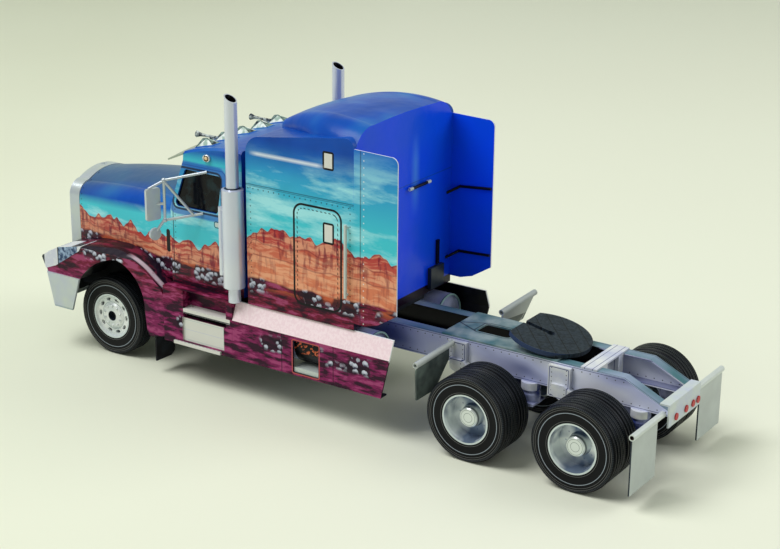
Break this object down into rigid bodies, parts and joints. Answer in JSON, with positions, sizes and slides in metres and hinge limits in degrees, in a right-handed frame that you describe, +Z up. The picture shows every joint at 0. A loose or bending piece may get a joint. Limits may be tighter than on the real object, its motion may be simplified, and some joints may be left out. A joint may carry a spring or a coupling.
{
  "type": "scale model semi truck",
  "caption": "Card scale model of a long-nosed sleeper semi tractor with fairings, twin stacks, fifth wheel and freely turning wheels, printed with a desert landscape",
  "frame": {"origin": "on the ground under the middle of the model's bounding box", "axes": "the front faces -Y, +X is the truck's own left side, +Z is up"},
  "size_m": [0.116, 0.353, 0.154],
  "materials": {
    "axle_card": "printed dark grey",
    "black_card": "printed black",
    "chassis_card": "printed lilac silver",
    "dark_grille_card": "printed dark grey",
    "drive_rim_card": "printed bluish silver",
    "fifth_wheel_card": "printed dark slate",
    "flap_card": "printed grey green",
    "front_rim_card": "printed pale silver",
    "glazing": "printed black window",
    "mirror_card": "printed silver",
    "printed_card": "printed landscape: blue sky over orange and maroon ground, satin",
    "roof_card": "printed deep blue, satin",
    "silver_card": "printed silver grey",
    "stack_card": "printed silver lilac",
    "tank_card": "printed silver",
    "tyre_card": "printed black, matt"
  },
  "bodies": {
    "chassis": {"bogie_cross_member": "chassis_card", "bumper": "silver_card", "cab_body": "printed_card", "cab_glazing": "glazing", "cab_roof": "roof_card", "drive_axle_1": "axle_card", "drive_axle_2": "axle_card", "exhaust_stack_left": "stack_card", "exhaust_stack_right": "stack_card", "fender_left": "printed_card", "fender_right": "printed_card", "fifth_wheel": "fifth_wheel_card", "fifth_wheel_mount": "fifth_wheel_card", "frame_rail_left": "chassis_card", "frame_rail_right": "chassis_card", "front_axle": "axle_card", "fuel_tank_left": "tank_card", "fuel_tank_right": "tank_card", "grille": "dark_grille_card", "grille_shell": "silver_card", "headlamp_left": "silver_card", "headlamp_right": "silver_card", "hood": "printed_card", "mirror_left": "mirror_card", "mirror_right": "mirror_card", "mudflap_hanger": "flap_card", "mudflap_left": "flap_card", "mudflap_right": "flap_card", "quarter_flap_left": "flap_card", "quarter_flap_right": "flap_card", "side_extender_left": "printed_card", "side_extender_right": "printed_card", "sleeper_body": "printed_card", "sleeper_roof": "roof_card", "splash_flap_left": "black_card", "splash_flap_right": "black_card", "step_box_left": "printed_card", "step_box_right": "printed_card", "sun_visor": "roof_card", "tail_cross_member": "chassis_card", "tank_fairing_left": "printed_card", "tank_fairing_right": "printed_card", "underframe": "black_card"},
    "front_wheel_left": {"tyre_front_left": "tyre_card", "wheel_front_left": "front_rim_card"},
    "front_wheel_right": {"tyre_front_right": "tyre_card", "wheel_front_right": "front_rim_card"},
    "drive_1_wheel_left": {"tyre_drive_1_left": "tyre_card", "wheel_drive_1_left": "drive_rim_card"},
    "drive_1_wheel_right": {"tyre_drive_1_right": "tyre_card", "wheel_drive_1_right": "drive_rim_card"},
    "drive_2_wheel_left": {"tyre_drive_2_left": "tyre_card", "wheel_drive_2_left": "drive_rim_card"},
    "drive_2_wheel_right": {"tyre_drive_2_right": "tyre_card", "wheel_drive_2_right": "drive_rim_card"}
  },
  "joints": [
    {"name": "front_wheel_left_spin", "type": "hinge", "parent": "chassis", "child": "front_wheel_left", "pos_m": [0, -0.1345, 0.021], "axis": [1, 0, 0], "continuous": true},
    {"name": "front_wheel_right_spin", "type": "hinge", "parent": "chassis", "child": "front_wheel_right", "pos_m": [0, -0.1345, 0.021], "axis": [1, 0, 0], "continuous": true},
    {"name": "drive_1_wheel_left_spin", "type": "hinge", "parent": "chassis", "child": "drive_1_wheel_left", "pos_m": [0, 0.0883, 0.021], "axis": [1, 0, 0], "continuous": true},
    {"name": "drive_1_wheel_right_spin", "type": "hinge", "parent": "chassis", "child": "drive_1_wheel_right", "pos_m": [0, 0.0883, 0.021], "axis": [1, 0, 0], "continuous": true},
    {"name": "drive_2_wheel_left_spin", "type": "hinge", "parent": "chassis", "child": "drive_2_wheel_left", "pos_m": [0, 0.1435, 0.021], "axis": [1, 0, 0], "continuous": true},
    {"name": "drive_2_wheel_right_spin", "type": "hinge", "parent": "chassis", "child": "drive_2_wheel_right", "pos_m": [0, 0.1435, 0.021], "axis": [1, 0, 0], "continuous": true}
  ]
}
